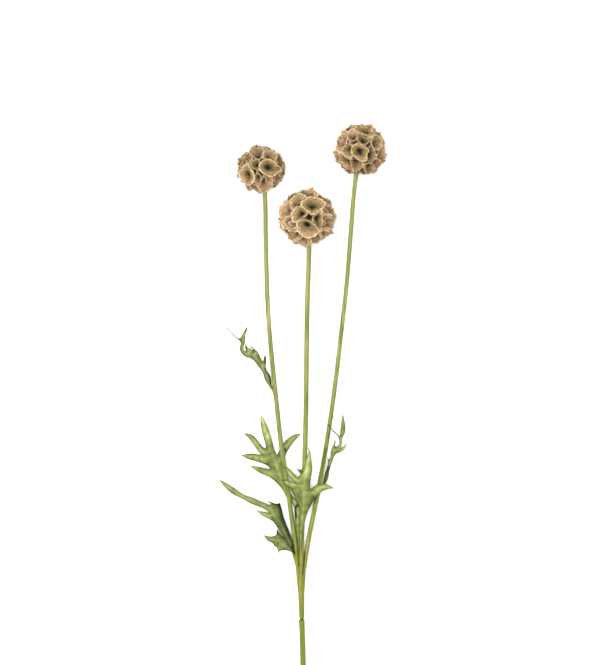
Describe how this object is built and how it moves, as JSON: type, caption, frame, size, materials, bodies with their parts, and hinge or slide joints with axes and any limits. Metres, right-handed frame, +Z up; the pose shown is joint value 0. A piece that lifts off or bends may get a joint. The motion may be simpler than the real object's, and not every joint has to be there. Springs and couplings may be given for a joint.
{
  "type": "scabiosa flower",
  "caption": "Cut spray of globe scabiosa lying down: one stem forks into slender branches with round heads of papery funnel cups, and carries deeply lobed leaves.",
  "frame": {"origin": "on the surface that the spray lies on, under the middle of its bounding box", "axes": "+X across the spray to the right as seen from above with the heads away, +Y along the stem from the cut end to the heads, +Z up from the surface"},
  "size_m": [0.1414, 0.5267, 0.0475],
  "materials": {
    "stem": "satin",
    "papery_cups": "matte",
    "leaf": "matte"
  },
  "bodies": {
    "root": {"stem_lower": "stem", "stem_forked": "stem", "head_left": "papery_cups", "head_middle": "papery_cups", "head_right": "papery_cups", "leaf_a": "leaf", "leaf_b": "leaf", "leaf_c": "leaf", "leaf_d": "leaf", "leaf_e": "leaf", "leaf_f": "leaf"}
  },
  "joints": []
}
